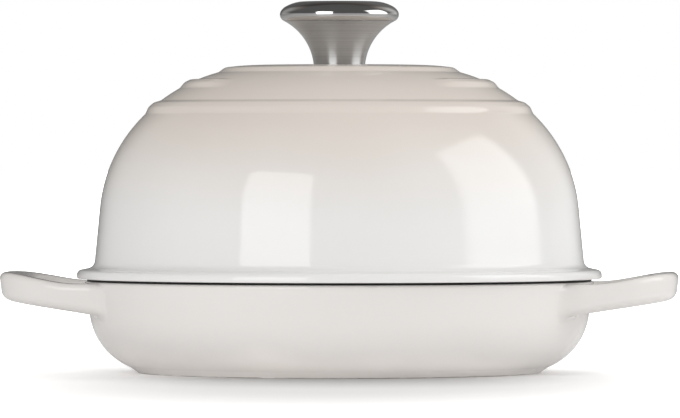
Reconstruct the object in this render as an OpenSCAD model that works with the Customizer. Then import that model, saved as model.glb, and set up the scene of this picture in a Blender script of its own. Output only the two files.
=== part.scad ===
// Bread cloche: a shallow round iron base with two loop handles and a tall
// domed lid with a steel knob. Millimetres, +Z up, the foot stands on z = 0,
// the handles lie along X and the front faces -Y.

/* [Base] */
// Outer radius of the base at its enamelled edge
base_rim_r = 122.3; // [90:0.1:170]
// Height of the base's enamelled edge above the table
base_rim_z = 43.9; // [38:0.1:64]
// Thickness of the base's side wall
base_wall = 4.3; // [3.5:0.1:6]
// Lean of the side wall from upright, in degrees
base_draft = 9; // [4:0.5:14]
// Radius of the curve between the side wall and the belly
belly_r = 31.2; // [20:0.1:34]
// Height of the belly's lowest line above the table
belly_z = 0.4; // [0.1:0.1:0.8]
// Thickness of the floor above the recess in the foot
floor_t = 4.4; // [3:0.1:7]
// Radius of the curve between the floor and the wall, inside
inner_corner_r = 25.8; // [12:0.1:28]

/* [Foot ring] */
// Distance of the foot ring's outer side inside the base's edge
foot_inset = 24.7; // [20:0.1:34]
// Width of the foot ring
foot_w = 6; // [3:0.5:12]
// Width of the slope from the foot ring's outer side into the belly
foot_blend = 3; // [1:0.1:5]
// Depth of the recess that the foot ring surrounds
foot_recess = 1.4; // [1:0.1:2.5]

/* [Floor ridges] */
// Radius of the innermost ridge on the floor
ridge_first_r = 14; // [8:1:30]
// Distance from one ridge to the next
ridge_pitch = 12; // [8:1:20]
// Width of a ridge at its foot
ridge_w = 4.6; // [3:0.1:6]
// Height of a ridge
ridge_h = 1.1; // [0.5:0.1:2]

/* [Rim] */
// Height of the black rim that carries the lid, above the enamelled edge
land_h = 1.1; // [0.6:0.1:2]
// Distance of that rim inside the enamelled edge
land_inset = 1.4; // [1:0.1:1.8]
// Rounding of the enamelled edge
edge_round = 1.0; // [0.4:0.1:1]

/* [Handles] */
// Reach of a handle beyond the base's edge
handle_reach = 40.2; // [34:0.1:55]
// Distance from one handle leg's middle to the other's
handle_span = 88; // [70:1:110]
// Width of the handle's bar, seen from above
handle_w = 14; // [10:0.5:18]
// Height of the handle at its root
handle_root_h = 13.6; // [10:0.1:18]
// Distance of the handle's top below the enamelled edge, at its root
handle_drop = 0.8; // [0.3:0.1:6]
// Rise of the handle's top from root to tip
handle_lift = 5.2; // [0:0.1:12]
// Rise of the handle's underside, in degrees
handle_slope = 8.4; // [2:0.1:14]
// Rounding of the bar's upper edges
handle_top_round = 3; // [1:0.1:4]
// Rounding of the bar's lower edges
handle_under_round = 4.5; // [1:0.1:4.8]
// Extra width where a leg runs into the wall
handle_flare = 5; // [0:0.5:8]

/* [Lid] */
// Height of the lid's crown above the seam
lid_h = 101.6; // [84:0.1:130]
// Thickness of the lid's wall
lid_wall = 4.5; // [3.5:0.1:6]
// Distance of the lid's side wall inside the base's edge, at the seam
lid_inset = 4.2; // [3.6:0.1:5]
// Lean of the lid's side wall from upright, in degrees
lid_draft = 5.6; // [3:0.1:9]
// Radius of the shoulder's curve
shoulder_r = 71; // [60:0.5:79]
// Radius of the crown's curve
crown_r = 80; // [80:0.5:100]
// Direction in which the shoulder passes into the crown, in degrees above the horizontal
blend_angle = 40; // [30:1:44]

/* [Flange and lip] */
// Overhang of the lid's flange beyond the base's edge
flange_overhang = 3.6; // [1:0.1:6]
// Thickness of the flange at its outer edge
flange_t = 3.9; // [3:0.1:6]
// Fall of the flange's top towards its outer edge, in degrees
flange_fall = 9; // [0:1:15]
// Rounding of the flange's outer edge
flange_round = 1.9; // [0.5:0.1:3]
// Rounding between the flange and the side wall
flange_fillet = 3.5; // [1:0.1:6]
// Depth of the lip that drops inside the base
lip_depth = 3; // [1.5:0.1:6]
// Gap between the lip and the inside of the base
lip_gap = 1.0; // [0.4:0.1:2]

/* [Stepped top] */
// Distance of the raised disc's edge inside the base's edge
disc_inset = 69.1; // [65:0.1:77]
// Distance of the middle ring's crest inside the base's edge
ring_mid_inset = 50.1; // [48:0.1:54]
// Distance of the outer ring's crest inside the base's edge
ring_outer_inset = 32.9; // [30:0.1:35]
// Height of the disc and the rings above the dome
ring_h = 1.35; // [0.6:0.05:2.2]
// Height of the knob's seat above the crown
seat_rise = 0.4; // [0.2:0.1:1.5]
// Width of a ring's flat crest
ring_crest = 2.4; // [1:0.1:4]
// Width of a ring's gentle inner side
ring_inner = 4.2; // [2:0.1:6]
// Width of a ring's steep outer side
ring_outer = 2.6; // [1.5:0.1:5]
// Half of the stretch at the front where the middle ring is left out, in degrees
plain_front = 41; // [20:1:80]
// Stretch over which the middle ring fades out, in degrees
ring_fade = 12; // [5:1:25]

/* [Knob] */
// Height of the knob above its seat
knob_h = 30.8; // [26:0.1:40]
// Radius of the knob at its widest
knob_r = 28.5; // [24:0.1:36]
// Radius of the knob's foot
knob_foot_r = 12.3; // [11:0.1:15]
// Radius of the trumpet's hollow curve
trumpet_r = 26.7; // [24:0.1:32]
// Depth of the knob's widest place below its top
knob_crown = 6.3; // [5.6:0.1:9]
// Radius of the rolled edge
bead_r = 3.4; // [2.5:0.1:4.5]
// Angle to which the edge is rolled under, in degrees
bead_roll = 64; // [50:1:75]
// Thickness of the knob's sheet
knob_sheet = 1.0; // [0.6:0.1:1.5]

/* [Screw] */
// Thread radius of the screw
screw_r = 3; // [2.5:0.5:4]
// Length of the screw below its head
screw_l = 20; // [14:1:26]
// Height of the screw's head
head_h = 3.6; // [2:0.1:5]
// Thickness of the flat washer
washer_t = 1.6; // [1:0.1:2]
// Thickness of the lock washer
lock_t = 1.5; // [1:0.1:2]
// Radial room round the screw in the lid
screw_room = 0.4; // [0.2:0.1:1]
// Radial play of the screw in the washers
washer_play = 0.2; // [0.1:0.05:0.4]
// Radial play of the screw in its thread
thread_play = 0.05; // [0.02:0.01:0.1]

/* [Hidden] */

$fn = 180;
// Largest turn of one straight step along a round stretch of an outline
arc_step = 6;
// Extra reach of a cut, so that it opens cleanly
over = 2;

enamel = [0.87, 0.85, 0.82];
polished = [0.62, 0.62, 0.62];
satin = [0.55, 0.54, 0.52];

// The seam is the plane in which the lid rests on the base's black rim
seam_z = base_rim_z + land_h;
floor_z = foot_recess + floor_t;
foot_r = base_rim_r - foot_inset;

// Straight lines of the base's wall, outside and inside
function base_outer(z) = base_rim_r - (base_rim_z - z) * tan(base_draft);
function base_inner(z) = base_outer(z) - base_wall;

// Middle of a curve of radius r that leaves the wall and runs level at height z
function corner_mid(wall_r, r) = wall_r - r * cos(base_draft);
inner_corner_z = floor_z + inner_corner_r;
inner_tangent_z = inner_corner_z - inner_corner_r * sin(base_draft);
floor_flat_r = corner_mid(base_inner(inner_tangent_z), inner_corner_r);

// Dome: the side wall passes into the shoulder, and the shoulder into the crown
crown_z = seam_z + lid_h - crown_r;
shoulder_z = crown_z + (crown_r - shoulder_r) * sin(blend_angle);
shoulder_x = lid_outer(shoulder_z + shoulder_r * sin(lid_draft)) - shoulder_r * cos(lid_draft);
crown_x = shoulder_x - (crown_r - shoulder_r) * cos(blend_angle);
function lid_outer(z) = base_rim_r - lid_inset - (z - seam_z) * tan(lid_draft);
inner_top_z = seam_z + lid_h - lid_wall;

lip_z = seam_z - lip_depth;
lip_r = base_inner(lip_z) - lip_gap;
flange_r = base_rim_r + flange_overhang;
flange_top_z = seam_z + flange_t;
// The two roundings of the flange's edge leave a narrow flat between them
flange_flat = 0.1;
flange_edge_r = min(flange_round, (flange_t - flange_flat) / 2);

// Raised disc and rings
disc_r = base_rim_r - disc_inset;
ring_mid_r = base_rim_r - ring_mid_inset;
ring_outer_r = base_rim_r - ring_outer_inset;

// Knob seat and screw stack
seat_border = 2;
seat_r = knob_foot_r + seat_border;
seat_z = seam_z + lid_h + seat_rise;
washer_r = 3 * screw_r;
lock_r = 1.95 * screw_r;
head_r = 2 * screw_r;
washer_z = inner_top_z - washer_t;
lock_z = washer_z - lock_t;
head_z = lock_z - head_h;
screw_end_z = lock_z + screw_l;

// Knob: the rolled edge's middle, and the trumpet's floor
knob_top_z = seat_z + knob_h;
bead_mid = [knob_r - bead_r, knob_top_z - knob_crown];
knob_floor_t = 1.5;

// Insert: a spigot in the floor, a flange on it and a boss with the thread
insert_spigot_r = screw_r + 2;
insert_boss_r = screw_r + 3;
insert_flange_r = screw_r + 6;
insert_flange_t = 1.5;
insert_play = 0.1;
insert_end = 3;
thread_spare = 1;

function unit(v) = v / norm(v);
function smooth(t) = let (u = min(1, max(0, t))) u * u * (3 - 2 * u);

// Points of an arc about mid, from angle a to angle b
function arc(mid, r, a, b) =
    let (n = max(1, ceil(abs(b - a) / arc_step)))
    [for (i = [0:n]) mid + r * [cos(a + (b - a) * i / n), sin(a + (b - a) * i / n)]];

// Arc of radius r that rounds the corner b between its neighbours a and c
function rounded_corner(a, b, c, r) =
    let (
        u = unit(a - b),
        v = unit(c - b),
        half = acos(u * v) / 2,
        mid = b + unit(u + v) * r / sin(half),
        first = b + u * r / tan(half) - mid,
        last = b + v * r / tan(half) - mid,
        start = atan2(first.y, first.x),
        turn = atan2(last.y, last.x) - start,
        sweep = turn > 180 ? turn - 360 : (turn < -180 ? turn + 360 : turn)
    )
    arc(mid, r, start, start + sweep);

// Closed outline from corners given as [x, y, rounding radius]
function outline(corners) =
    let (n = len(corners))
    [
        for (i = [0:n - 1])
            let (
                a = corners[(i + n - 1) % n],
                b = corners[i],
                c = corners[(i + 1) % n],
                here = [b.x, b.y]
            )
            each b.z > 0 ? rounded_corner([a.x, a.y], here, [c.x, c.y], b.z) : [here]
    ];

// Skin of a tube through rings of points, closed at both ends
module skin(rings) {
    m = len(rings[0]);
    last = len(rings) - 1;
    sides = [
        for (i = [0:last - 1], j = [0:m - 1])
            let (
                a = i * m + j,
                b = i * m + (j + 1) % m
            )
            each [[a, b, b + m], [a, b + m, a + m]]
    ];
    ends = [
        [for (j = [m - 1:-1:0]) j],
        [for (j = [0:m - 1]) last * m + j]
    ];
    polyhedron(points = [for (ring = rings) each ring], faces = concat(sides, ends), convexity = 6);
}

// Belly: middle of its curve, and the height of its underside at radius r
belly_mid = [
    corner_mid(base_outer(belly_z + belly_r * (1 - sin(base_draft))), belly_r),
    belly_z + belly_r
];
function belly_bottom(r) = belly_mid.y - sqrt(pow(belly_r, 2) - pow(max(0, r - belly_mid.x), 2));

// Base: solid body with its rim, before the hollow is cut
module base_body() {
    land_r = base_rim_r - land_inset;
    land_round = 0.3;
    rotate_extrude() {
        polygon(outline([
            [0, belly_z, 0],
            [base_outer(belly_z), belly_z, belly_r],
            [base_rim_r, base_rim_z, edge_round],
            [land_r, base_rim_z, 0],
            [land_r, seam_z, land_round],
            [0, seam_z, 0]
        ]));
        polygon([
            [0, 0],
            [foot_r - foot_recess / 2, 0],
            [foot_r, foot_recess / 2],
            [foot_r + foot_blend, belly_bottom(foot_r + foot_blend)],
            [foot_r, floor_z],
            [0, floor_z]
        ]);
    }
}

// Base: the hollow, whose floor carries the ridges
module base_hollow() {
    mouth_chamfer = 0.5;
    mouth_z = seam_z + over;
    ridge_count = floor((floor_flat_r - ridge_w / 2 - ridge_first_r) / ridge_pitch);
    ridges = [
        for (i = [0:ridge_count])
            let (r = ridge_first_r + i * ridge_pitch)
            each [
                [r - ridge_w / 2, floor_z],
                [r - ridge_w / 4, floor_z + ridge_h],
                [r + ridge_w / 4, floor_z + ridge_h],
                [r + ridge_w / 2, floor_z]
            ]
    ];
    wall = arc([floor_flat_r, inner_corner_z], inner_corner_r, -90, -base_draft);
    mouth = [
        [base_inner(seam_z - mouth_chamfer), seam_z - mouth_chamfer],
        [base_inner(seam_z) + mouth_chamfer, seam_z],
        [base_inner(seam_z) + mouth_chamfer, mouth_z],
        [0, mouth_z]
    ];
    rotate_extrude()
        polygon(concat([[0, floor_z]], ridges, wall, mouth));
}

module foot_hollow() {
    rotate_extrude()
        polygon([
            [0, -over],
            [foot_r - foot_w + foot_recess / 2, -over],
            [foot_r - foot_w + foot_recess / 2, 0],
            [foot_r - foot_w - foot_recess / 2, foot_recess],
            [0, foot_recess]
        ]);
}

// Handle: a loop whose middle line is a rounded oblong, seen from above. Its
// top and underside are surfaces that depend only on the distance x, and the
// section is an upright rectangle between them with rounded corners. Its ends
// lie in the hollow and are cut off with it.
root_depth = 24;
flare_start = 6;
flare_length = 20;
handle_root_x = base_rim_r - root_depth;
handle_tip_x = base_rim_r + handle_reach - handle_w / 2;
loop_power = 3.3;
loop_step = 5;
section_step = 22.5;

function handle_top(x) =
    base_rim_z - handle_drop + handle_lift * smooth((x - base_rim_r) / handle_reach);
function handle_under(x) =
    base_rim_z - handle_drop - handle_root_h + (x - base_rim_r) * tan(handle_slope);
function handle_width(x) =
    handle_w + handle_flare * smooth((base_rim_r + flare_start - x) / flare_length);

// Point in direction a of a rounded oblong with half sizes p and q
function oblong(a, p, q, e) =
    [sin(a), cos(a)] / pow(pow(abs(sin(a)) / p, e) + pow(abs(cos(a)) / q, e), 1 / e);

function loop_point(a) =
    [handle_root_x, 0] + oblong(a, handle_tip_x - handle_root_x, handle_span / 2, loop_power);

// Each corner of the section is [side, 1 for the top or -1 for the underside, first direction]
function handle_ring(a) =
    let (
        mid = loop_point(a),
        along = unit(loop_point(a + 1) - loop_point(a - 1)),
        outward = [-along.y, along.x]
    )
    [
        for (corner = [[1, 1, 0], [1, -1, 90], [-1, -1, 180], [-1, 1, 270]], b = [0:section_step:90])
            let (
                r = corner.y > 0 ? handle_top_round : handle_under_round,
                turn = corner.z + b,
                across = corner.x * (handle_width(mid.x) / 2 - r) + r * sin(turn),
                p = mid + outward * across,
                edge_z = corner.y > 0 ? handle_top(p.x) : handle_under(p.x)
            )
            [p.x, p.y, edge_z - corner.y * r + r * cos(turn)]
    ];

module handle() {
    skin([for (a = [0:loop_step:180]) handle_ring(a)]);
}

module base_pan() {
    color(enamel)
        difference() {
            union() {
                base_body();
                handle();
                mirror([1, 0, 0]) handle();
            }
            base_hollow();
            foot_hollow();
        }
}

// Dome: point on its outer surface whose normal rises by a degrees, moved out by off
function dome_point(a, off) =
    a < blend_angle
        ? [shoulder_x, shoulder_z] + (shoulder_r + off) * [cos(a), sin(a)]
        : [crown_x, crown_z] + (crown_r + off) * [cos(a), sin(a)];
function dome_angle(r) = acos((r - crown_x) / crown_r);

// Height of a ring at the distance s outside its crest, along the dome
function ring_shape(s) =
    s < 0
        ? smooth((s + ring_crest / 2 + ring_inner) / ring_inner)
        : smooth((ring_crest / 2 + ring_outer - s) / ring_outer);
function ring_distance(a, r) = (dome_angle(r) - a) * PI / 180 * crown_r;

// Degrees between two outline points on a ring's sides, and to the plain dome beside it
ring_step = 0.4;
ring_margin = 0.1;
ring_from = -ring_crest / 2 - ring_inner;
ring_to = ring_crest / 2 + ring_outer;
function ring_angle(r, s) = dome_angle(r) - s / crown_r * 180 / PI;

// Outline of a ring at radius r, from its outer foot in to the distance s_end
function ring_points(r, s_end) =
    [
        for (a = [ring_angle(r, ring_to):ring_step:ring_angle(r, s_end)])
            dome_point(a, ring_h * ring_shape(ring_distance(a, r)))
    ];

// Lid without the middle ring: the disc is a ring whose crest runs on to the knob's seat
module lid_shell() {
    lip_chamfer = 0.6;
    fall = flange_r - lid_outer(flange_top_z);
    flange_root_z = flange_top_z + fall * tan(flange_fall);
    flange = outline([
        [lip_r - over, seam_z, 0],
        [flange_r, seam_z, flange_edge_r],
        [flange_r, flange_top_z, flange_edge_r],
        [lid_outer(flange_root_z), flange_root_z, flange_fillet],
        [lid_outer(shoulder_z), shoulder_z, 0],
        [0, shoulder_z, 0],
        [0, seam_z, 0]
    ]);
    side = [
        [0, seam_z],
        [lid_outer(seam_z), seam_z]
    ];
    shoulder = arc([shoulder_x, shoulder_z], shoulder_r, lid_draft, blend_angle);
    crown_low = arc(
        [crown_x, crown_z],
        crown_r,
        blend_angle,
        ring_angle(ring_outer_r, ring_to + ring_margin)
    );
    crown_high = arc(
        [crown_x, crown_z],
        crown_r,
        ring_angle(ring_outer_r, ring_from - ring_margin),
        ring_angle(disc_r, ring_to + ring_margin)
    );
    seat = [
        [seat_r, seat_z],
        [0, seat_z]
    ];
    inner = concat(
        [
            [0, lip_z - over],
            [lid_outer(lip_z) - lid_wall + lip_chamfer, lip_z - over],
            [lid_outer(lip_z) - lid_wall + lip_chamfer, lip_z],
            [lid_outer(lip_z + lip_chamfer) - lid_wall, lip_z + lip_chamfer]
        ],
        arc([shoulder_x, shoulder_z], shoulder_r - lid_wall, lid_draft, blend_angle),
        arc([crown_x, crown_z], crown_r - lid_wall, blend_angle, 90),
        [[0, inner_top_z]]
    );
    rotate_extrude()
        difference() {
            union() {
                polygon(flange);
                polygon(concat(
                    side,
                    shoulder,
                    crown_low,
                    ring_points(ring_outer_r, ring_from),
                    crown_high,
                    ring_points(disc_r, 0),
                    seat
                ));
                polygon([
                    [0, lip_z],
                    [lip_r - lip_chamfer, lip_z],
                    [lip_r, lip_z + lip_chamfer],
                    [lip_r, seam_z + over],
                    [0, seam_z + over]
                ]);
            }
            polygon(inner);
            square([screw_r + screw_room, seat_z + over]);
        }
}

// Middle ring: it runs round the back and fades into the dome before the plain front
module middle_ring() {
    sunk = 0.35;
    root = 1.6;
    azimuth_step = 5;
    turns = ceil((360 - 2 * plain_front) / azimuth_step);
    profile_step = 0.8;
    from = ring_angle(ring_mid_r, ring_to);
    to = ring_angle(ring_mid_r, ring_from);
    count = ceil((to - from) / profile_step);
    skin([
        for (i = [0:turns])
            let (
                turn = i / turns * (360 - 2 * plain_front),
                end = min(turn, 360 - 2 * plain_front - turn),
                azimuth = plain_front - 90 + turn,
                crest = (ring_h + sunk) * smooth(end / ring_fade)
            )
            [
                for (j = [0:count])
                    let (
                        a = from + (to - from) * j / count,
                        high = crest * ring_shape(ring_distance(a, ring_mid_r)) - sunk,
                        p = dome_point(a, high)
                    )
                    [p.x * cos(azimuth), p.x * sin(azimuth), p.y],
                for (a = [to, from])
                    let (p = dome_point(a, -root))
                    [p.x * cos(azimuth), p.x * sin(azimuth), p.y]
            ]
    ]);
}

module lid_dome() {
    color(enamel) {
        lid_shell();
        middle_ring();
    }
}

// Cap: a pressed shell whose edge is rolled under
module knob_cap() {
    side_r = 6.5;
    side_from = 35;
    side_to = 60;
    side_mid = bead_mid + (bead_r - side_r) * [cos(side_from), sin(side_from)];
    rise = knob_top_z - side_mid.y - side_r * sin(side_to);
    top_r = rise / (1 - sin(side_to));
    top_mid = side_mid + (side_r - top_r) * [cos(side_to), sin(side_to)];
    color(polished)
        rotate_extrude()
            polygon(concat(
                arc(bead_mid, bead_r, -bead_roll, side_from),
                arc(side_mid, side_r, side_from, side_to),
                arc(top_mid, top_r, side_to, 90),
                [[0, knob_top_z], [0, knob_top_z - knob_sheet]],
                arc(top_mid, top_r - knob_sheet, 90, side_to),
                arc(side_mid, side_r - knob_sheet, side_to, side_from),
                arc(bead_mid, bead_r - knob_sheet, side_from, -bead_roll)
            ));
}

// Body: a spun trumpet with a floor for the insert. Its hollow curve runs from
// the foot's edge to a lip that ends just short of the cap's rolled edge.
module knob_body() {
    lip_gap_angle = 5;
    foot_chamfer = 0.4;
    foot = [knob_foot_r, seat_z + foot_chamfer];
    lip = bead_mid + bead_r * [cos(bead_roll + lip_gap_angle), -sin(bead_roll + lip_gap_angle)];
    chord = lip - foot;
    sideways = sqrt(trumpet_r * trumpet_r - chord * chord / 4);
    mid = (foot + lip) / 2 + sideways * unit([chord.y, -chord.x]);
    lip_angle = atan2(lip.y - mid.y, lip.x - mid.x);
    foot_angle = 180 + atan2(mid.y - foot.y, mid.x - foot.x);
    floor_top_z = seat_z + knob_floor_t;
    floor_angle = 180 - asin((floor_top_z - mid.y) / (trumpet_r + knob_sheet));
    hole_r = insert_spigot_r + insert_play;
    color(satin)
        rotate_extrude()
            polygon(concat(
                [[hole_r, seat_z], [knob_foot_r - foot_chamfer, seat_z]],
                arc(mid, trumpet_r, foot_angle, lip_angle),
                arc(mid, trumpet_r + knob_sheet, lip_angle, floor_angle),
                [[hole_r, floor_top_z]]
            ));
}

// Insert: a turned boss that stands on the trumpet's floor and takes the thread
module knob_insert() {
    thread_r = screw_r + thread_play;
    flange_z = seat_z + knob_floor_t;
    thread_end_z = screw_end_z + thread_spare;
    tip_z = thread_end_z + insert_end;
    color(satin)
        difference() {
            union() {
                translate([0, 0, seat_z]) cylinder(r = insert_spigot_r, h = tip_z - seat_z);
                translate([0, 0, flange_z]) cylinder(r = insert_flange_r, h = insert_flange_t);
                translate([0, 0, flange_z]) cylinder(r = insert_boss_r, h = tip_z - flange_z);
            }
            translate([0, 0, seat_z - over]) cylinder(r = thread_r, h = thread_end_z - seat_z + over);
        }
}

// Screw: a pan head with a cross recess, and a plain shank at the thread's size
module knob_screw() {
    head_round = 1.6;
    point = 0.6;
    recess_w = 1.3;
    recess_l = 3.6;
    recess_h = 1.9;
    color(satin)
        difference() {
            rotate_extrude()
                polygon(outline([
                    [0, head_z, 0],
                    [head_r, head_z, head_round],
                    [head_r, lock_z, 0],
                    [screw_r, lock_z, 0],
                    [screw_r, screw_end_z - point, 0],
                    [screw_r - point, screw_end_z, 0],
                    [0, screw_end_z, 0]
                ]));
            for (a = [0, 90])
                rotate(a)
                    translate([-recess_l / 2, -recess_w / 2, head_z - over])
                        cube([recess_l, recess_w, recess_h + over]);
        }
}

module flat_washer() {
    color(polished)
        translate([0, 0, washer_z])
            difference() {
                cylinder(r = washer_r, h = washer_t);
                translate([0, 0, -over]) cylinder(r = screw_r + washer_play, h = washer_t + 2 * over);
            }
}

// Lock washer: square wire, cut through at one place
module lock_washer() {
    split_w = 1;
    color(satin)
        translate([0, 0, lock_z])
            difference() {
                cylinder(r = lock_r, h = lock_t);
                translate([0, 0, -over]) cylinder(r = screw_r + washer_play, h = lock_t + 2 * over);
                translate([-split_w / 2, 0, -over]) cube([split_w, lock_r + over, lock_t + 2 * over]);
            }
}

base_pan();
lid_dome();
knob_cap();
knob_body();
knob_insert();
knob_screw();
flat_washer();
lock_washer();
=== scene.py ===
import math

import bpy
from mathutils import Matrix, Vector
from mathutils.kdtree import KDTree


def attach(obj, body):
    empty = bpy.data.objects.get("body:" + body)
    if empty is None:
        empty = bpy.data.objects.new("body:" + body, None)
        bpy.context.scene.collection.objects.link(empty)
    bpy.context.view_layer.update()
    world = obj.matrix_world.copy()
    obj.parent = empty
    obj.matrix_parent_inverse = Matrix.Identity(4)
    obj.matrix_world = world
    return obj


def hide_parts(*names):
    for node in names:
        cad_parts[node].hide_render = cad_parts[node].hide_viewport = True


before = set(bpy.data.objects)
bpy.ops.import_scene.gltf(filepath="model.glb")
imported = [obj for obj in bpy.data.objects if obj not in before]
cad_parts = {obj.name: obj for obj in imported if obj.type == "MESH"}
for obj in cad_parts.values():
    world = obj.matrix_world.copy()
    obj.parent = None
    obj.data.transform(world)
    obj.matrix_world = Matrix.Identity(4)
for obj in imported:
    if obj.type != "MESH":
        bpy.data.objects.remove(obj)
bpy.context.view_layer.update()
bpy.context.scene.view_settings.view_transform = "Standard"


# Base pan: one shallow iron casting with its foot ring, ridged floor and both
# loop handles. It is enamelled, glossy white outside and matt black inside and on
# the narrow rim that carries the lid. Sizes are in millimetres and degrees.
MM = 0.001
RIM_R, RIM_Z, RIM_ROUND = 122.3, 43.9, 1.4
LAND_R, SEAM_Z, LAND_FOOT, LAND_ROUND = 120.9, 45.0, 0.12, 0.3
BEVEL_IN, BEVEL_DOWN = 0.5, 0.6
SIDE_Z, WALL, DRAFT = 28, 4.3, 9
BELLY_R, BELLY_Z = 31.2, 0.4
FLOOR_Z, CORNER_R = 5.8, 25.8
FOOT_R, FOOT_W, FOOT_RECESS = 97.6, 6.0, 1.4
FOOT_SLOPE, FOOT_FLAT_IN, FOOT_SIDE_IN, FOOT_SIDE_Z = 0.7, 0.9, 0.4, 0.5
RECESS_ROUND, FOOT_ROUND, FOOT_TO_BELLY = 0.6, 0.4, 3
RIDGE_FIRST, RIDGE_PITCH, RIDGE_W, RIDGE_H, RIDGES = 14, 12, 4.6, 1.1, 7
RIDGE_PLACES = (0.5, 0.42, 0.34, 0.26, 0.18, 0.1, 0, -0.1, -0.18, -0.26, -0.34, -0.42, -0.5)
BLACK_RIM_R, TOLERANCE = LAND_R + 0.16, 0.01
SPIN_STEPS, CREASE = 256, math.radians(35)


def tan(angle):
    return math.tan(math.radians(angle))


def arc(mid, radius, start, end, step=3):
    """Points [r, z] along an arc, from one direction to another in degrees."""
    count = max(1, math.ceil(abs(end - start) / step))
    turns = [math.radians(start + (end - start) * i / count) for i in range(count + 1)]
    return [(mid[0] + radius * math.cos(t), mid[1] + radius * math.sin(t)) for t in turns]


def rounded(corners, step=9):
    """An open outline through corners given as (r, z, radius of the rounding)."""
    points = [corners[0][:2]]
    for before, (r, z, radius), after in zip(corners, corners[1:], corners[2:]):
        if not radius:
            points.append((r, z))
            continue
        here = Vector((r, z))
        u = (Vector(before[:2]) - here).normalized()
        v = (Vector(after[:2]) - here).normalized()
        half = u.angle(v) / 2
        mid = here + (u + v).normalized() * radius / math.sin(half)
        first = here + u * radius / math.tan(half) - mid
        last = here + v * radius / math.tan(half) - mid
        start = math.degrees(math.atan2(first.y, first.x))
        sweep = (math.degrees(math.atan2(last.y, last.x)) - start + 180) % 360 - 180
        points += arc(mid, radius, start, start + sweep, step)
    return points + [corners[-1][:2]]


def evened(points, longest=5, shortest=0.02):
    """The same outline with no double points, and its long straight lines cut up."""
    out = [points[0]]
    for r, z in points[1:]:
        last = out[-1]
        reach = math.hypot(r - last[0], z - last[1])
        if reach < shortest:
            continue
        parts = math.ceil(reach / longest)
        out += [(last[0] + (r - last[0]) * i / parts, last[1] + (z - last[1]) * i / parts)
                for i in range(1, parts + 1)]
    return out


def turned(name, points):
    """The piece that an outline sweeps round the axis, drawn point by point and spun."""
    bpy.ops.object.select_all(action="DESELECT")
    bpy.ops.mesh.primitive_plane_add(size=0.01, enter_editmode=True, location=(0, 0, 0))
    piece = bpy.context.object
    piece.name = piece.data.name = name
    bpy.ops.mesh.merge(type="CENTER")
    bpy.ops.transform.translate(value=(points[0][0] * MM, 0, points[0][1] * MM))
    for (r0, z0), (r1, z1) in zip(points, points[1:]):
        bpy.ops.mesh.extrude_vertices_move(
            TRANSFORM_OT_translate={"value": ((r1 - r0) * MM, 0, (z1 - z0) * MM)})
    bpy.ops.mesh.select_all(action="SELECT")
    bpy.ops.mesh.spin(steps=SPIN_STEPS, angle=math.tau, center=(0, 0, 0), axis=(0, 0, 1))
    bpy.ops.mesh.select_all(action="SELECT")
    bpy.ops.mesh.remove_doubles(threshold=1e-6)
    bpy.ops.mesh.normals_make_consistent(inside=False)
    bpy.ops.object.mode_set(mode="OBJECT")
    bpy.ops.object.shade_smooth_by_angle(angle=CREASE)
    return piece


def mark_black(piece, points, is_line):
    """Gives each vertex its distance along the outline past the line where the black
    enamel starts, in millimetres. is_line picks the outline point on that line."""
    at = [0.0]
    for a, b in zip(points, points[1:]):
        at.append(at[-1] + math.dist(a, b))
    line = next(s for s, p in zip(at, points) if is_line(p))
    tree = KDTree(len(points))
    for i, (r, z) in enumerate(points):
        tree.insert((r, z, 0), i)
    tree.balance()
    past = piece.data.attributes.new("past_line", "FLOAT", "POINT")
    for v, value in zip(piece.data.vertices, past.data):
        x, y, z = v.co / MM
        value.value = at[tree.find((math.hypot(x, y), z, 0))[1]] - line


def base_outer(z):
    """Radius of the base's outside, on its straight side or on its belly's curve."""
    line = RIM_R - (RIM_Z - z) * tan(DRAFT)
    mid_z = BELLY_Z + BELLY_R
    if z > mid_z - BELLY_R * math.sin(math.radians(DRAFT)):
        return line
    mid_r = RIM_R - (RIM_Z - mid_z) * tan(DRAFT) - BELLY_R / math.cos(math.radians(DRAFT))
    return mid_r + math.sqrt(max(0, BELLY_R ** 2 - (mid_z - z) ** 2))


def base_inner(z):
    """Radius of the base's inside, on its straight side."""
    return RIM_R - (RIM_Z - z) * tan(DRAFT) - WALL


corner_z = FLOOR_Z + CORNER_R
corner_r = base_inner(corner_z) - CORNER_R / math.cos(math.radians(DRAFT))
belly_mid = (base_outer(BELLY_Z), BELLY_Z + BELLY_R)
foot_turn = math.degrees(math.asin((FOOT_R + FOOT_TO_BELLY - belly_mid[0]) / BELLY_R)) - 90
belly = arc(belly_mid, BELLY_R, foot_turn, -DRAFT, 2)
base_points = rounded([
    (0, FOOT_RECESS, 0),
    (FOOT_R - FOOT_W - FOOT_SLOPE, FOOT_RECESS, RECESS_ROUND),
    (FOOT_R - FOOT_W + FOOT_SLOPE, 0, FOOT_ROUND),
    (FOOT_R - FOOT_FLAT_IN, 0, FOOT_ROUND),
    (FOOT_R - FOOT_SIDE_IN, FOOT_SIDE_Z, FOOT_ROUND),
    belly[0] + (0,),
])
base_points += belly
base_points += evened(rounded([
    (base_outer(SIDE_Z), SIDE_Z, 0),
    (RIM_R, RIM_Z, RIM_ROUND),
    (LAND_R, RIM_Z, LAND_FOOT),
    (LAND_R, SEAM_Z, LAND_ROUND),
    (base_inner(SEAM_Z) + BEVEL_IN, SEAM_Z, LAND_ROUND),
    (base_inner(SEAM_Z - BEVEL_DOWN), SEAM_Z - BEVEL_DOWN, LAND_ROUND),
    (base_inner(corner_z), corner_z, 0),
]))
base_points += arc((corner_r, corner_z), CORNER_R, -DRAFT, -90)
for ridge in reversed(range(RIDGES)):
    mid = RIDGE_FIRST + ridge * RIDGE_PITCH
    base_points += [(mid + RIDGE_W * t, FLOOR_Z + RIDGE_H * math.cos(math.pi * t) ** 2)
                    for t in RIDGE_PLACES]
base_points = evened(base_points + [(0, FLOOR_Z)], 8)
base_pan = turned("base_pan_casting", base_points)
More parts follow.
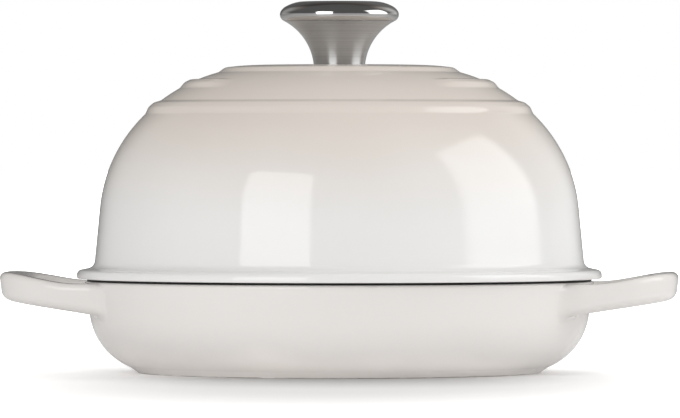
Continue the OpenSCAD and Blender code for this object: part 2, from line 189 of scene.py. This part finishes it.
mark_black(base_pan, base_points,
           lambda p: p[0] <= BLACK_RIM_R and p[1] >= RIM_Z - TOLERANCE)

# A handle's bar has a rounded section that changes along a rounded loop. It is a
# grid whose lines are laid along the loop, each from inside the wall, out through
# the fillet at the root, to the middle of the loop and back on the other side.
ROOT_X, REACH, SPAN, BAR_W, ROOT_H = RIM_R - 24, 40.2, 88, 14, 13.6
DROP, LIFT, SLOPE = 0.8, 5.2, 8.4
FLARE, FLARE_FROM, FLARE_OVER = 5, 6, 20
LOOP_POWER, TOP_ROUND, UNDER_ROUND, UNDER_IN = 3.3, 3.0, 4.5, 0.7
FILLETS = {"side": 6.0, "under": 3.0, "top": 0.5}
CORNER_STEPS, FACE_STEPS, BEND, FREE = 10, 6, 12, 60
NUDGE, HALVINGS, MIDWAY = 0.01, 40, 0.5
ALL_WHITE = -50


def smooth(t):
    """0 below 0, 1 above 1, and a smooth passage between them."""
    t = min(1, max(0, t))
    return t * t * (3 - 2 * t)


def loop_point(a):
    """Point of the line that the bar's middle follows, an oblong with round corners. It
    starts inside the wall, and is furthest out where a is a quarter turn."""
    half_x, half_y = RIM_R + REACH - BAR_W / 2 - ROOT_X, SPAN / 2
    s, c = math.sin(a), math.cos(a)
    size = (abs(s) / half_x) ** LOOP_POWER + (abs(c) / half_y) ** LOOP_POWER
    size = size ** (-1 / LOOP_POWER)
    return Vector((ROOT_X + s * size, c * size))


def section_lines():
    """Lines of the bar's section: which corner, the turn round it, and the share of the
    way along the flat face to the next corner."""
    corners = [(1, 1), (1, -1), (-1, -1), (-1, 1)]
    out = []
    for i, corner in enumerate(corners):
        out += [(corner, 90 * (i + j / CORNER_STEPS), 0) for j in range(CORNER_STEPS)]
        out += [(corner, 90 * (i + 1), j / FACE_STEPS) for j in range(FACE_STEPS)]
    return out


def bar_point(a, line):
    """Point of the bar's surface, and the direction in which the surface faces, in space
    and in the section."""
    (side, up), turn, share = line
    mid = loop_point(a)
    along = (loop_point(a + NUDGE) - loop_point(a - NUDGE)).normalized()
    outward = Vector((-along.y, along.x))
    half = (BAR_W + FLARE * smooth((RIM_R + FLARE_FROM - mid.x) / FLARE_OVER)) / 2

    def corner_point(side, up):
        r = TOP_ROUND if up > 0 else UNDER_ROUND
        reach = half - r - (0 if up > 0 else UNDER_IN)
        p = mid + outward * (side * reach + r * math.sin(math.radians(turn)))
        top = RIM_Z - DROP + LIFT * smooth((p.x - RIM_R) / REACH)
        under = RIM_Z - DROP - ROOT_H + (p.x - RIM_R) * tan(SLOPE)
        edge = top if up > 0 else under
        return Vector((p.x, p.y, edge - up * r + r * math.cos(math.radians(turn))))

    place = corner_point(side, up)
    place = place.lerp(corner_point(up, -side), share) if share else place
    facing = Vector((math.sin(math.radians(turn)), math.cos(math.radians(turn))))
    return place, Vector((outward.x * facing.x, outward.y * facing.x, facing.y)), facing


def gap_to_wall(p):
    """How far a point is outside the base's wall."""
    return math.hypot(p.x, p.y) - base_outer(p.z)


def bar_line(section):
    """Half a line of the handle's surface, from inside the wall to the loop's middle. At
    each gap from the wall it swells by what is left of the fillet there."""
    facing = bar_point(MIDWAY, section)[2]
    share = {"side": facing.x ** 2,
             "top": max(0, facing.y) ** 2,
             "under": max(0, -facing.y) ** 2}
    fillet = sum(FILLETS[k] * v for k, v in share.items())
    bends = [math.pi / 2 * i / BEND for i in range(BEND + 1)]
    gaps = [(-WALL / 2, fillet)]
    gaps += [(fillet * (1 - math.cos(t)), fillet * (1 - math.sin(t))) for t in bends]
    line = []
    for gap, swell in gaps:
        low, high = 0.0, math.pi / 2
        for _ in range(HALVINGS):
            a = (low + high) / 2
            if gap_to_wall(bar_point(a, section)[0]) < gap:
                low = a
            else:
                high = a
        p, way, _ = bar_point(a, section)
        p += Vector((way.x, way.y, min(way.z, 0))) * swell
        flat = Vector((p.x, p.y))
        flat *= (base_outer(p.z) + gap) / flat.length
        line.append((flat.x, flat.y, p.z))
    line += [tuple(bar_point(a + (math.pi / 2 - a) * i / FREE, section)[0])
             for i in range(1, FREE + 1)]
    return line


lines = [bar_line(section) for section in section_lines()]
around = len(lines)
half_rows = len(lines[0]) - 1
bpy.ops.object.select_all(action="DESELECT")
bpy.ops.mesh.primitive_grid_add(
    x_subdivisions=around, y_subdivisions=2 * half_rows, size=2, location=(0, 0, 0))
handle = bpy.context.object
handle.name = handle.data.name = "handle"
for v in handle.data.vertices:
    j = round((v.co.x + 1) / 2 * around) % around
    k = round((v.co.y + 1) / 2 * 2 * half_rows)
    x, y, z = lines[j][min(k, 2 * half_rows - k)]
    v.co = Vector((x, y if k <= half_rows else -y, z)) * MM
bpy.ops.object.mode_set(mode="EDIT")
bpy.ops.mesh.select_all(action="SELECT")
bpy.ops.mesh.remove_doubles(threshold=1e-7)
bpy.ops.mesh.select_all(action="SELECT")
bpy.ops.mesh.fill_holes(sides=0)
bpy.ops.mesh.select_all(action="SELECT")
bpy.ops.mesh.normals_make_consistent(inside=False)
bpy.ops.mesh.duplicate()
bpy.ops.transform.rotate(value=math.pi, orient_axis="Z", center_override=(0, 0, 0))
bpy.ops.object.mode_set(mode="OBJECT")
bpy.ops.object.shade_smooth_by_angle(angle=CREASE)
past = handle.data.attributes.new("past_line", "FLOAT", "POINT")
for value in past.data:
    value.value = ALL_WHITE
base_pan.select_set(True)
bpy.context.view_layer.objects.active = base_pan
bpy.ops.object.join()


class Wire:
    """An output of a material's nodes. Arithmetic on it adds the Math nodes."""

    def __init__(self, tree, socket=None):
        self.tree, self.socket = tree, socket

    def node(self, kind, settings=None, sockets=None, out=0):
        made = self.tree.nodes.new("ShaderNode" + kind)
        for name, value in (settings or {}).items():
            if name == "stops":
                ramp = made.color_ramp
                while len(ramp.elements) < len(value):
                    ramp.elements.new(1)
                for stop, (place, colour) in zip(ramp.elements, value):
                    stop.position, stop.color = place, colour
            else:
                setattr(made, name, value)
        for name, value in (sockets or {}).items():
            if isinstance(value, Wire):
                self.tree.links.new(value.socket, made.inputs[name])
            else:
                made.inputs[name].default_value = value
        return Wire(self.tree, made.outputs[out])

    def maths(self, operation, *values):
        return self.node("Math", {"operation": operation}, dict(enumerate(values)))

    def __add__(self, other):
        return self.maths("ADD", self, other)

    def __sub__(self, other):
        return self.maths("SUBTRACT", self, other)

    def __rsub__(self, other):
        return self.maths("SUBTRACT", other, self)

    def __mul__(self, other):
        return self.maths("MULTIPLY", self, other)

    def __truediv__(self, other):
        return self.maths("DIVIDE", self, other)

    def __pow__(self, other):
        return self.maths("POWER", self, other)

    __radd__, __rmul__ = __add__, __mul__

    def between(self, low, high):
        """0 below low, 1 above high, and a smooth passage between them."""
        return self.node("MapRange", {"interpolation_type": "SMOOTHSTEP"},
                         {"Value": self, "From Min": low, "From Max": high})

    def blend(self, first, second):
        """The first colour where this is 0, the second where it is 1."""
        return self.node("Mix", {"data_type": "RGBA"}, {0: self, 6: first, 7: second}, out=2)

    def split(self):
        """The three parts of a vector."""
        return [self.node("SeparateXYZ", {}, {0: self}, out=i) for i in range(3)]

    def noise(self, scale, detail):
        """Noise from 0 to 1 over this place, with so many lumps to the metre."""
        return self.node("TexNoise", {}, {"Vector": self, "Scale": scale, "Detail": detail})

    def bump(self, depth, height, under=None):
        """The surface's direction under a relief of that depth, in metres."""
        sockets = {"Strength": 1.0, "Distance": depth, "Height": height}
        if under:
            sockets["Normal"] = under
        return self.node("Bump", {}, sockets)


def new_material(name):
    """A material of that name, its wires and its shader."""
    material = bpy.data.materials.new(name)
    material.use_nodes = True
    tree = material.node_tree
    shader = tree.nodes["Principled BSDF"]
    return material, Wire(tree), shader


def connect(wire, shader, socket):
    wire.tree.links.new(wire.socket, shader.inputs[socket])


def wear(piece, material):
    piece.data.materials.clear()
    piece.data.materials.append(material)


# The first white here, lighter low on the belly, is painted bounce light from the white table
# below.
BASE_FOOT_PAINTED_BOUNCE, BASE_WHITE = (0.93, 0.89, 0.86, 1), (0.748, 0.726, 0.708, 1)
# The first colour here is the greyer white of a painted edge shade.
OUTER_SHADE_WHITE, SCUFFED = (0.69, 0.68, 0.665, 1), (0.33, 0.31, 0.29, 1)
BLACK, GRIT_BLACK = (0.0075, 0.0075, 0.008, 1), (0.02, 0.02, 0.021, 1)
# The last three set a painted edge shade, a greyer white far from the axis.
RAGGED, LINE_SOFT, OUTER_SHADE_FROM, OUTER_SHADE_TO, OUTER_SHADE_SHARE = 0.5, 0.04, 0.0165, 0.0195, 0.1
# The last height here tops the painted bounce light low on the base's belly.
PEEL_DEPTH, GRIT_DEPTH, FOOT_BOUNCE_Z = 0.00006, 0.00004, 0.014


def enamel(name, lower, upper, low, high, worn=None):
    """Glossy enamel whose colour goes from one white to another between two heights in
    metres, painted light and shade by height. It turns a greyer white far out, by the
    square of the radius, a painted edge shade, and gives way to matt black where
    past_line is above 0. worn says where it is scuffed."""
    material, wires, shader = new_material(name)
    place = wires.node("TexCoord", out="Object")
    x, y, z = place.split()
    past = wires.node("Attribute", {"attribute_name": "past_line"}, out="Fac")
    black = (past + RAGGED * (place.noise(160, 3) - 0.5)).between(-LINE_SOFT, LINE_SOFT)
    mottle = place.noise(14, 2)
    # Painted light and shade by height: the colour goes from lower to upper between low and
    # high.
    colour = (z + 0.02 * (mottle - 0.5)).between(low, high).blend(lower, upper)
    # Painted edge shade: a greyer white far from the axis, out on the handles.
    outer_shade = (x * x + y * y + 0.001 * mottle).between(OUTER_SHADE_FROM, OUTER_SHADE_TO)
    colour = (OUTER_SHADE_SHARE * outer_shade).blend(colour, OUTER_SHADE_WHITE)
    rough = 0.05 + 0.05 * mottle
    if worn:
        scuff = worn(place, z)
        colour = scuff.blend(colour, SCUFFED)
        rough = rough + 0.35 * scuff
    connect(colour, shader, "Base Color")
    connect(rough, shader, "Roughness")
    shader.inputs["IOR"].default_value = 1.5
    peel = wires.bump(PEEL_DEPTH, place.noise(60, 1) + 0.12 * place.noise(300, 2))
    connect(peel, shader, "Normal")

    matt = wires.tree.nodes.new("ShaderNodeBsdfPrincipled")
    grit = place.noise(1600, 2)
    connect(grit.between(0.35, 0.8).blend(BLACK, GRIT_BLACK), matt, "Base Color")
    matt.inputs["Roughness"].default_value = 0.55
    matt.inputs["Specular IOR Level"].default_value = 0.2
    connect(wires.bump(GRIT_DEPTH, grit, peel), matt, "Normal")
    both = wires.node("MixShader", {}, {0: black})
    wires.tree.links.new(shader.outputs[0], both.socket.node.inputs[1])
    wires.tree.links.new(matt.outputs[0], both.socket.node.inputs[2])
    connect(both, wires.tree.nodes["Material Output"], "Surface")
    return material


def foot_wear(place, z):
    """Where the foot's underside is scuffed: only within half a millimetre of the table."""
    patch = place.noise(90, 5)
    return (1 - (z + 0.0006 * (patch - 0.5)).between(0.0001, 0.0005)) * patch.between(0.35, 0.6)


# Low on its belly the base is lighter: painted bounce light from the table.
wear(base_pan, enamel("enamel_base", BASE_FOOT_PAINTED_BOUNCE, BASE_WHITE, 0.0, FOOT_BOUNCE_Z, foot_wear))
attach(base_pan, "base")
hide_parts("base_pan")


# Lid: a tall iron casting whose wall rises into a shoulder and a crown, with a
# rolled flange, a lip that drops inside the base, and a stepped top of a raised
# disc and two rings. The middle ring fades out before the plain front.
LID_H, LID_WALL, LID_R, LID_DRAFT, LID_SIDE_Z = 101.6, 4.5, 118.1, 5.6, 78
SHOULDER_R, CROWN_R, BLEND = 71.0, 80.0, 40
FLANGE_R, FLANGE_T, FALL, FLANGE_FILLET = 125.9, 3.9, 12, 4.0
FLANGE_TOP, FLANGE_UNDER, BLACK_UNDER_R = 2.6, 0.9, 122.9
LIP_Z, LIP_GAP, LIP_ROOT, LIP_ROUND = 42.0, 1.0, 0.4, 0.8
DISC_R, MIDDLE_R, OUTER_R = 53.2, 72.2, 89.4
STEP_H, CREST, INNER_SIDE, OUTER_SIDE, RING_STEP = 1.35, 2.0, 4.6, 4.4, 0.35
RING_MARGIN, RING_GAP, DOME_STEP = 0.2, 0.3, 1.5
PLAIN_FRONT, RING_FADE, MIDDLE_FROM, MIDDLE_TO, MIDDLE_LOW = 41, 12, 60, 82, 120
DISC_FLAT, DISC_STEP = 0.62, 3
SEAT_R, SEAT_Z, SEAT_MARGIN, HOLE_R, HOLE_ROUND = 14.3, 147.0, 3, 3.4, 0.5
# Painted light and shade by height: the lid is a lighter, neutral white low on the dome,
# standing in for the light of the bright sides, and a darker, warmer white on the crown,
# painted shade where little light falls from above.
LID_SIDE_PAINTED_LIGHT, LID_TOP_PAINTED_SHADE = (0.77, 0.77, 0.765, 1), (0.68, 0.63, 0.583, 1)
LID_SIDE_LIGHT_Z, LID_TOP_Z = 0.068, 0.125


def lid_outer(z):
    """Radius of the lid's outside, on its leaning side."""
    return LID_R - (z - SEAM_Z) * tan(LID_DRAFT)


crown_z = SEAM_Z + LID_H - CROWN_R
shoulder_z = crown_z + (CROWN_R - SHOULDER_R) * math.sin(math.radians(BLEND))
shoulder_x = (lid_outer(shoulder_z + SHOULDER_R * math.sin(math.radians(LID_DRAFT)))
              - SHOULDER_R * math.cos(math.radians(LID_DRAFT)))
crown_x = shoulder_x - (CROWN_R - SHOULDER_R) * math.cos(math.radians(BLEND))


def crown_point(angle, off=0):
    """Point on the crown in that direction, or at a distance off it."""
    t = math.radians(angle)
    return crown_x + (CROWN_R + off) * math.cos(t), crown_z + (CROWN_R + off) * math.sin(t)


def crown_angle(r, past=0):
    """Direction of the crown's point at radius r, or a distance further down the dome."""
    return math.degrees(math.acos((r - crown_x) / CROWN_R) - past / CROWN_R)


def step_shape(s):
    """Height of a ring, from 0 to 1, at the distance s down the dome from its crest."""
    if s < 0:
        return smooth((s + CREST / 2 + INNER_SIDE) / INNER_SIDE)
    return smooth((CREST / 2 + OUTER_SIDE - s) / OUTER_SIDE)


def ring_points(r, upto, height):
    """Outline over a ring at radius r, from its outer foot up to a distance above it."""
    first, last = CREST / 2 + OUTER_SIDE + RING_MARGIN, -upto
    count = round((first - last) / RING_STEP)
    places = [first + (last - first) * i / count for i in range(count + 1)]
    return [crown_point(crown_angle(r, s), height * step_shape(s)) for s in places]


def disc_point(radius):
    """Point of the raised disc, which is flatter than the crown under it and eases down
    to the knob's seat in the middle."""
    r, z = crown_point(crown_angle(max(radius, crown_x)), STEP_H)
    edge_z = crown_point(crown_angle(DISC_R), STEP_H)[1]
    z = edge_z + DISC_FLAT * (z - edge_z)
    if radius >= crown_x:
        return r, z
    return radius, SEAT_Z + (z - SEAT_Z) * smooth((radius - SEAT_R) / (crown_x - SEAT_R))


def dome_arc(start, end):
    """Outline along the bare crown, from one direction to another."""
    return arc((crown_x, crown_z), CROWN_R, start, end, DOME_STEP)


over = CREST / 2 + INNER_SIDE + RING_MARGIN
beyond = CREST / 2 + OUTER_SIDE + RING_MARGIN + RING_GAP
disc_from, disc_to = int(DISC_R - 1), int(SEAT_R + SEAT_MARGIN)
crown = (
    dome_arc(BLEND, crown_angle(OUTER_R, beyond))
    + ring_points(OUTER_R, over, STEP_H)
    + dome_arc(crown_angle(OUTER_R, -over - RING_GAP), crown_angle(MIDDLE_R, beyond))
    + ring_points(MIDDLE_R, over, 0)
    + dome_arc(crown_angle(MIDDLE_R, -over - RING_GAP), crown_angle(DISC_R, beyond))
    + ring_points(DISC_R, 0, STEP_H)
    + [disc_point(r) for r in range(disc_from, disc_to, -DISC_STEP)])
lip_r = base_inner(LIP_Z) - LIP_GAP
flange_top_z = SEAM_Z + FLANGE_T
flange_root_z = flange_top_z + (FLANGE_R - lid_outer(flange_top_z)) * tan(FALL)
lid_points = rounded([
    (HOLE_R, SEAM_Z + LID_H - LID_WALL, 0),
    (HOLE_R, SEAT_Z, HOLE_ROUND),
    (SEAT_R, SEAT_Z, 0),
    disc_point(SEAT_R + SEAT_MARGIN) + (0,),
])
lid_points += crown[::-1]
lid_points += arc((shoulder_x, shoulder_z), SHOULDER_R, BLEND, LID_DRAFT, DOME_STEP)
lid_points += rounded([
    (lid_outer(LID_SIDE_Z), LID_SIDE_Z, 0),
    (lid_outer(flange_root_z), flange_root_z, FLANGE_FILLET),
    (FLANGE_R, flange_top_z, FLANGE_TOP),
    (FLANGE_R, SEAM_Z, FLANGE_UNDER),
    (lip_r, SEAM_Z, LIP_ROOT),
    (lip_r, LIP_Z, LIP_ROUND),
    (lid_outer(LIP_Z) - LID_WALL, LIP_Z, LIP_ROUND),
    (lid_outer(LID_SIDE_Z) - LID_WALL, LID_SIDE_Z, 0),
])
lid_points += arc((shoulder_x, shoulder_z), SHOULDER_R - LID_WALL, LID_DRAFT, BLEND, 2)
lid_points += arc((crown_x, crown_z), CROWN_R - LID_WALL, BLEND, 90, 2)
lid_points = evened(lid_points + [lid_points[0]])
lid = turned("lid_casting", lid_points)
mark_black(lid, lid_points,
           lambda p: p[0] < BLACK_UNDER_R and p[1] < SEAM_Z + TOLERANCE)

# The middle ring isn't in the outline. The outside's vertices are raised into it
# after the spin, everywhere but on the plain front.
for v in lid.data.vertices:
    r = math.hypot(v.co.x, v.co.y) / MM
    down = Vector((r - crown_x, v.co.z / MM - crown_z))
    outside = v.co.z / MM >= MIDDLE_LOW and down.length >= CROWN_R - 1
    if not outside or not MIDDLE_FROM < r < MIDDLE_TO:
        continue
    turn = math.radians(crown_angle(MIDDLE_R)) - math.atan2(down.y, down.x)
    from_front = abs(math.degrees(math.atan2(v.co.x, -v.co.y)))
    fade = smooth((from_front - PLAIN_FRONT) / RING_FADE)
    rise = STEP_H * fade * step_shape(turn * CROWN_R) * MM
    facing = Vector((v.co.x, v.co.y, 0)).normalized() * down.x + Vector((0, 0, down.y))
    v.co += facing.normalized() * rise

# Painted light and shade by height: lighter low on the dome, darker on the crown.
wear(lid, enamel("enamel_lid", LID_SIDE_PAINTED_LIGHT, LID_TOP_PAINTED_SHADE, LID_SIDE_LIGHT_Z, LID_TOP_Z))
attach(lid, "lid")
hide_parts("lid_dome")


# Screw, washers and insert: stainless hardware that holds the knob. The screw
# goes up through the lid with a lock washer and a flat washer under its head,
# into a threaded insert inside the knob.
HARDWARE, MARK_SHADE, QUARTER_TURN = (0.55, 0.54, 0.52, 1), 0.86, 0.25


def steel(name, colour, rough, lines, depth, streak=0.0, brushed=0.0):
    """Stainless steel with turned marks that run round the axis, so many to the metre and
    so deep in metres. Across them a brushed surface spreads its highlights. streak is how
    much rougher a mark is."""
    material, wires, shader = new_material(name)
    place = wires.node("TexCoord", out="Object")
    x, y, z = place.split()
    r = (x * x + y * y) ** 0.5
    marks = wires.node("CombineXYZ", {}, {0: r, 1: z}).noise(lines, 4)
    smudge = place.noise(120, 3)
    darker = tuple(MARK_SHADE * c for c in colour[:3]) + (1,)
    connect(marks.between(0.3, 0.7).blend(darker, colour), shader, "Base Color")
    connect(rough + streak * (marks - 0.5) + 0.05 * smudge, shader, "Roughness")
    shader.inputs["Metallic"].default_value = 1
    shader.inputs["Anisotropic"].default_value = brushed
    shader.inputs["Anisotropic Rotation"].default_value = QUARTER_TURN
    connect(wires.bump(depth, marks), shader, "Normal")
    return material


hardware_steel = steel("hardware_steel", HARDWARE, 0.22, 3000, 0.000004, streak=0.1)
for name in ("knob_insert", "knob_screw", "flat_washer", "lock_washer"):
    wear(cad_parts[name], hardware_steel)


# Knob body: a trumpet spun from satin stainless sheet. Its foot stands on the
# lid, and its mouth ends under the cap's rolled edge.
KNOB_H, KNOB_R, KNOB_FOOT_R, TRUMPET_R = 30.8, 28.5, 12.3, 26.7
CROWN_DEPTH, BEAD_R, BEAD_ROLL, LIP_TUCK = 6.3, 3.4, 64, 5
SHEET, KNOB_FLOOR, FOOT_CHAMFER, BORE_R = 1.0, 1.5, 0.4, 5.1
SATIN = (0.56, 0.565, 0.565, 1)
knob_top_z = SEAT_Z + KNOB_H
bead_mid = Vector((KNOB_R - BEAD_R, knob_top_z - CROWN_DEPTH))
foot = Vector((KNOB_FOOT_R, SEAT_Z + FOOT_CHAMFER))
lip_turn = math.radians(BEAD_ROLL + LIP_TUCK)
lip = bead_mid + BEAD_R * Vector((math.cos(lip_turn), -math.sin(lip_turn)))
chord = lip - foot
sideways = math.sqrt(TRUMPET_R ** 2 - chord.length_squared / 4)
trumpet_mid = (foot + lip) / 2 + sideways * Vector((chord.y, -chord.x)).normalized()
lip_angle = math.degrees(math.atan2(lip.y - trumpet_mid.y, lip.x - trumpet_mid.x))
foot_angle = 180 + math.degrees(math.atan2(trumpet_mid.y - foot.y, trumpet_mid.x - foot.x))
floor_z = SEAT_Z + KNOB_FLOOR
floor_angle = 180 - math.degrees(math.asin((floor_z - trumpet_mid.y) / (TRUMPET_R + SHEET)))
body_points = [(BORE_R, SEAT_Z), (KNOB_FOOT_R - FOOT_CHAMFER, SEAT_Z)]
body_points += arc(trumpet_mid, TRUMPET_R, foot_angle, lip_angle, 1.5)
body_points += arc(trumpet_mid, TRUMPET_R + SHEET, lip_angle, floor_angle, 1.5)
body_points = evened(body_points + [(BORE_R, floor_z), (BORE_R, SEAT_Z)])
knob_body = turned("knob_trumpet", body_points)
wear(knob_body, steel("satin_steel", SATIN, 0.27, 1500, 0.000004, streak=0.08, brushed=0.9))
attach(knob_body, "lid")
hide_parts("knob_body")


# Knob cap: a pressing of stainless sheet, mirror polished, with its edge rolled
# under to hold the trumpet.
SIDE_R, SIDE_FROM, SIDE_TO = 6.5, 35, 60
POLISHED = (0.62, 0.61, 0.6, 1)


def toward(angle):
    """One millimetre in that direction."""
    return Vector((math.cos(math.radians(angle)), math.sin(math.radians(angle))))


side_mid = bead_mid + (BEAD_R - SIDE_R) * toward(SIDE_FROM)
top_r = (knob_top_z - side_mid.y - SIDE_R * toward(SIDE_TO).y) / (1 - toward(SIDE_TO).y)
top_mid = side_mid + (SIDE_R - top_r) * toward(SIDE_TO)
cap_points = arc(bead_mid, BEAD_R, -BEAD_ROLL, SIDE_FROM)
cap_points += arc(side_mid, SIDE_R, SIDE_FROM, SIDE_TO)
cap_points += arc(top_mid, top_r, SIDE_TO, 90, 1.5)
cap_points += [(0, knob_top_z), (0, knob_top_z - SHEET)]
cap_points += arc(top_mid, top_r - SHEET, 90, SIDE_TO, 1.5)
cap_points += arc(side_mid, SIDE_R - SHEET, SIDE_TO, SIDE_FROM)
cap_points += arc(bead_mid, BEAD_R - SHEET, SIDE_FROM, -BEAD_ROLL)
cap_points = evened(cap_points + [cap_points[0]])
knob_cap = turned("knob_cap_pressing", cap_points)
wear(knob_cap, steel("polished_steel", POLISHED, 0.06, 900, 0.000002, streak=0.02))
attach(knob_cap, "lid")
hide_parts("knob_cap")


# Studio: a white table with a painted shadow in front of the base and a pale
# surround that darkens overhead, with a tall soft box to the left of the camera, a wide
# one to the right, and two fills behind and above that reflections don't show. Lengths are in
# metres.
TABLE_R, TABLE_RINGS = 30, (15, 10, 4)
# These set the table's painted shadow in front of the base, and the glow around it.
SHADE_MID, SHADE_ACROSS, SHADE_FROM, SHADE_TO, SHADE = (0.011, -0.076), 1.5, 0.02, 0.18, 0.57
GLOW_MID, GLOW_ACROSS, GLOW, MIRRORED_GLOW = (0.013, -0.178), 4.65, 1.55, 0.13
# The second colour here is the grey of the table's painted shadow.
TABLE_WHITE, TABLE_SHADE_GREY = (0.9, 0.9, 0.9, 1), (0.1, 0.1, 0.1, 1)
WHITE, DARK, NO_LIGHT = (1, 1, 1, 1), (0.13, 0.13, 0.13, 1), (0, 0, 0, 1)
bpy.ops.object.select_all(action="DESELECT")
bpy.ops.mesh.primitive_circle_add(
    vertices=96, radius=TABLE_R, fill_type="NGON", enter_editmode=True, location=(0, 0, 0))
for depth in TABLE_RINGS:
    bpy.ops.mesh.inset(thickness=depth)
bpy.ops.object.mode_set(mode="OBJECT")
table = bpy.context.object
table.name = table.data.name = "table"


def oval_distance(x, y, mid, across):
    """Distance from a point of the table. The square of the way across counts for more."""
    x, y = x - mid[0], y - mid[1]
    return (across * x * x + y * y) ** 0.5


# The camera sees the table a little greyer close in front of the base, a painted
# shadow, and glowing white away from it. Reflections see a greyer table, painted shade,
# with little of that glow.
material, wires, shader = new_material("table_white")
x, y, _ = wires.node("TexCoord", out="Object").split()
near = oval_distance(x, y, SHADE_MID, SHADE_ACROSS)
away = oval_distance(x, y, GLOW_MID, GLOW_ACROSS)
camera_ray = wires.node("LightPath", out="Is Camera Ray")
glossy_ray = wires.node("LightPath", out="Is Glossy Ray")
# Painted shadow: the camera sees the table greyer close in front of the base, and reflections
# see it greyer further off and behind.
painted_shade = wires.maths("MAXIMUM", SHADE * camera_ray * (1 - near.between(SHADE_FROM, SHADE_TO)),
                   glossy_ray * (0.48 * near.between(0.15, 0.6) + 0.3 * y.between(0.1, 1.0)))
connect(painted_shade.blend(TABLE_WHITE, TABLE_SHADE_GREY), shader, "Base Color")
shader.inputs["Roughness"].default_value = 0.6
shader.inputs["Specular IOR Level"].default_value = 0.1
seen = wires.maths("MAXIMUM", camera_ray, MIRRORED_GLOW * glossy_ray)
# The glow rises away from the base and makes the soft edge of the painted shadow.
glow = seen * (0.42 * away.between(0.1, 0.52) + 0.58 * away.between(0.6, 1.8))
connect(glow.blend(NO_LIGHT, WHITE), shader, "Emission Color")
shader.inputs["Emission Strength"].default_value = GLOW
wear(table, material)

# The surround is darkest overhead, and dimmer behind the object than at its sides,
# above all on its left. behind and beside are 1 straight behind it and on its right.
# Reflections find a dark room, but for what is low or behind the object, and white
# low down straight behind it.
CAMERA_TURN, CAMERA_FAR, CAMERA_Z = 4.0, 3.5, 0.1074
SKY = [
    (0.0, (1.0, 1.0, 1.0, 1)),
    (0.52, (1.0, 0.99, 0.98, 1)),
    (0.75, (0.43, 0.37, 0.32, 1)),
    (0.92, (0.06, 0.06, 0.06, 1)),
]
SIDES, SIDES_MORE, BEHIND_LESS, RIGHT_SPARED, BACK_LESS = 0.75, 0.2, 0.37, 0.8, 0.7
world = bpy.data.worlds.new("studio")
world.use_nodes = True
bpy.context.scene.world = world
wires = Wire(world.node_tree)
x, y, z = wires.node("TexCoord", out="Generated").split()
turn = math.radians(CAMERA_TURN)
level = (x * x + y * y) ** 0.5 + 0.001
behind = (y * math.cos(turn) - x * math.sin(turn)) / level
beside = (x * math.cos(turn) + y * math.sin(turn)) / level
sky = wires.node("ValToRGB", {"stops": SKY}, {0: z})
dim = (SIDES + SIDES_MORE * (beside * beside).between(0.2, 0.9)
       - BEHIND_LESS * behind.between(-0.2, 0.7)
       * (1 - RIGHT_SPARED * beside.between(-0.3, 0.5)))
dim = dim * (1 - BACK_LESS * behind.between(0.8, 0.97))
camera_ray = wires.node("LightPath", out="Is Camera Ray")
glossy_ray = wires.maths("MAXIMUM", wires.node("LightPath", out="Is Glossy Ray"),
                         wires.node("LightPath", out="Is Transmission Ray"))
room = wires.maths("MAXIMUM", (1 - behind.between(0.35, 0.85)) * z.between(0.02, 0.1),
                   z.between(0.7, 0.85))
surround = (glossy_ray * room).blend(dim.blend(NO_LIGHT, sky), DARK)
backdrop = behind.between(0.9975, 0.999) * (1 - z.between(0.005, 0.025))
white = wires.maths("MAXIMUM", camera_ray, glossy_ray * backdrop)
connect(white.blend(surround, WHITE), world.node_tree.nodes["Background"], "Color")


def soft_box(name, place, width, height, strength, lean=0, edge=0.0, taper=0.0):
    """A lamp that faces the axis, leaning over from upright by a number of degrees. Its
    strength is the brightness of its face. Its light fades over the edge, a share of its
    half size, and its foot tapers on one side. With no edge, reflections don't show it."""
    turn = math.atan2(place[0], -place[1])
    bpy.ops.object.light_add(
        type="AREA", location=place, rotation=(math.radians(90 - lean), 0, turn))
    lamp = bpy.context.object
    lamp.name = lamp.data.name = name
    lamp.data.shape = "RECTANGLE"
    lamp.data.size, lamp.data.size_y = width, height
    lamp.data.energy = strength * math.pi * width * height
    lamp.visible_camera = False
    lamp.visible_glossy = edge > 0
    if not edge:
        return
    lamp.data.use_nodes = True
    wires = Wire(lamp.data.node_tree)
    u, v, _ = wires.node("NewGeometry", out="Parametric").split()
    u, v = 2 * u - 1, 2 * v - 1
    inwards = taper * (1 - v)
    u = (u - inwards) / (1 - inwards)
    reach = ((u * u) ** 5 + (v * v) ** 5) ** 0.1
    connect(reach.between(1 - edge, 1).blend(WHITE, NO_LIGHT),
            wires.tree.nodes["Emission"], "Color")


def beside_camera(turn, far, z):
    """Place at a turn to the right from the camera, so far from the axis and so high."""
    place = math.radians(CAMERA_TURN + turn)
    return far * math.sin(place), -far * math.cos(place), z


soft_box("soft_box_left", beside_camera(-30.7, 1.5, 0.57), width=0.96, height=1.23,
         strength=2.7, edge=0.04, taper=0.045)
soft_box("soft_box_right", beside_camera(83.4, 1.3, 0.84), width=1.3, height=1.6,
         strength=2.4, edge=0.3)
soft_box("soft_box_behind", beside_camera(180, 1.5, 0.9), width=1.8, height=1.2, strength=1.6)
soft_box("soft_box_over", (0, -0.0001, 1.8), width=1.6, height=1.6, strength=0.85, lean=90)

CAMERA_DOWN, CAMERA_ASIDE, LENS, SENSOR = 0.4765, 0.005, 386.4, 36
turn = math.radians(CAMERA_TURN)
bpy.ops.object.camera_add(
    location=(CAMERA_FAR * math.sin(turn), -CAMERA_FAR * math.cos(turn), CAMERA_Z),
    rotation=(math.radians(90 - CAMERA_DOWN), 0, math.radians(CAMERA_TURN - CAMERA_ASIDE)))
camera = bpy.context.object
camera.name = camera.data.name = "camera"
camera.data.lens = LENS
camera.data.sensor_width = SENSOR
camera.data.clip_start = 0.05
camera.data.clip_end = 200
bpy.context.scene.camera = camera
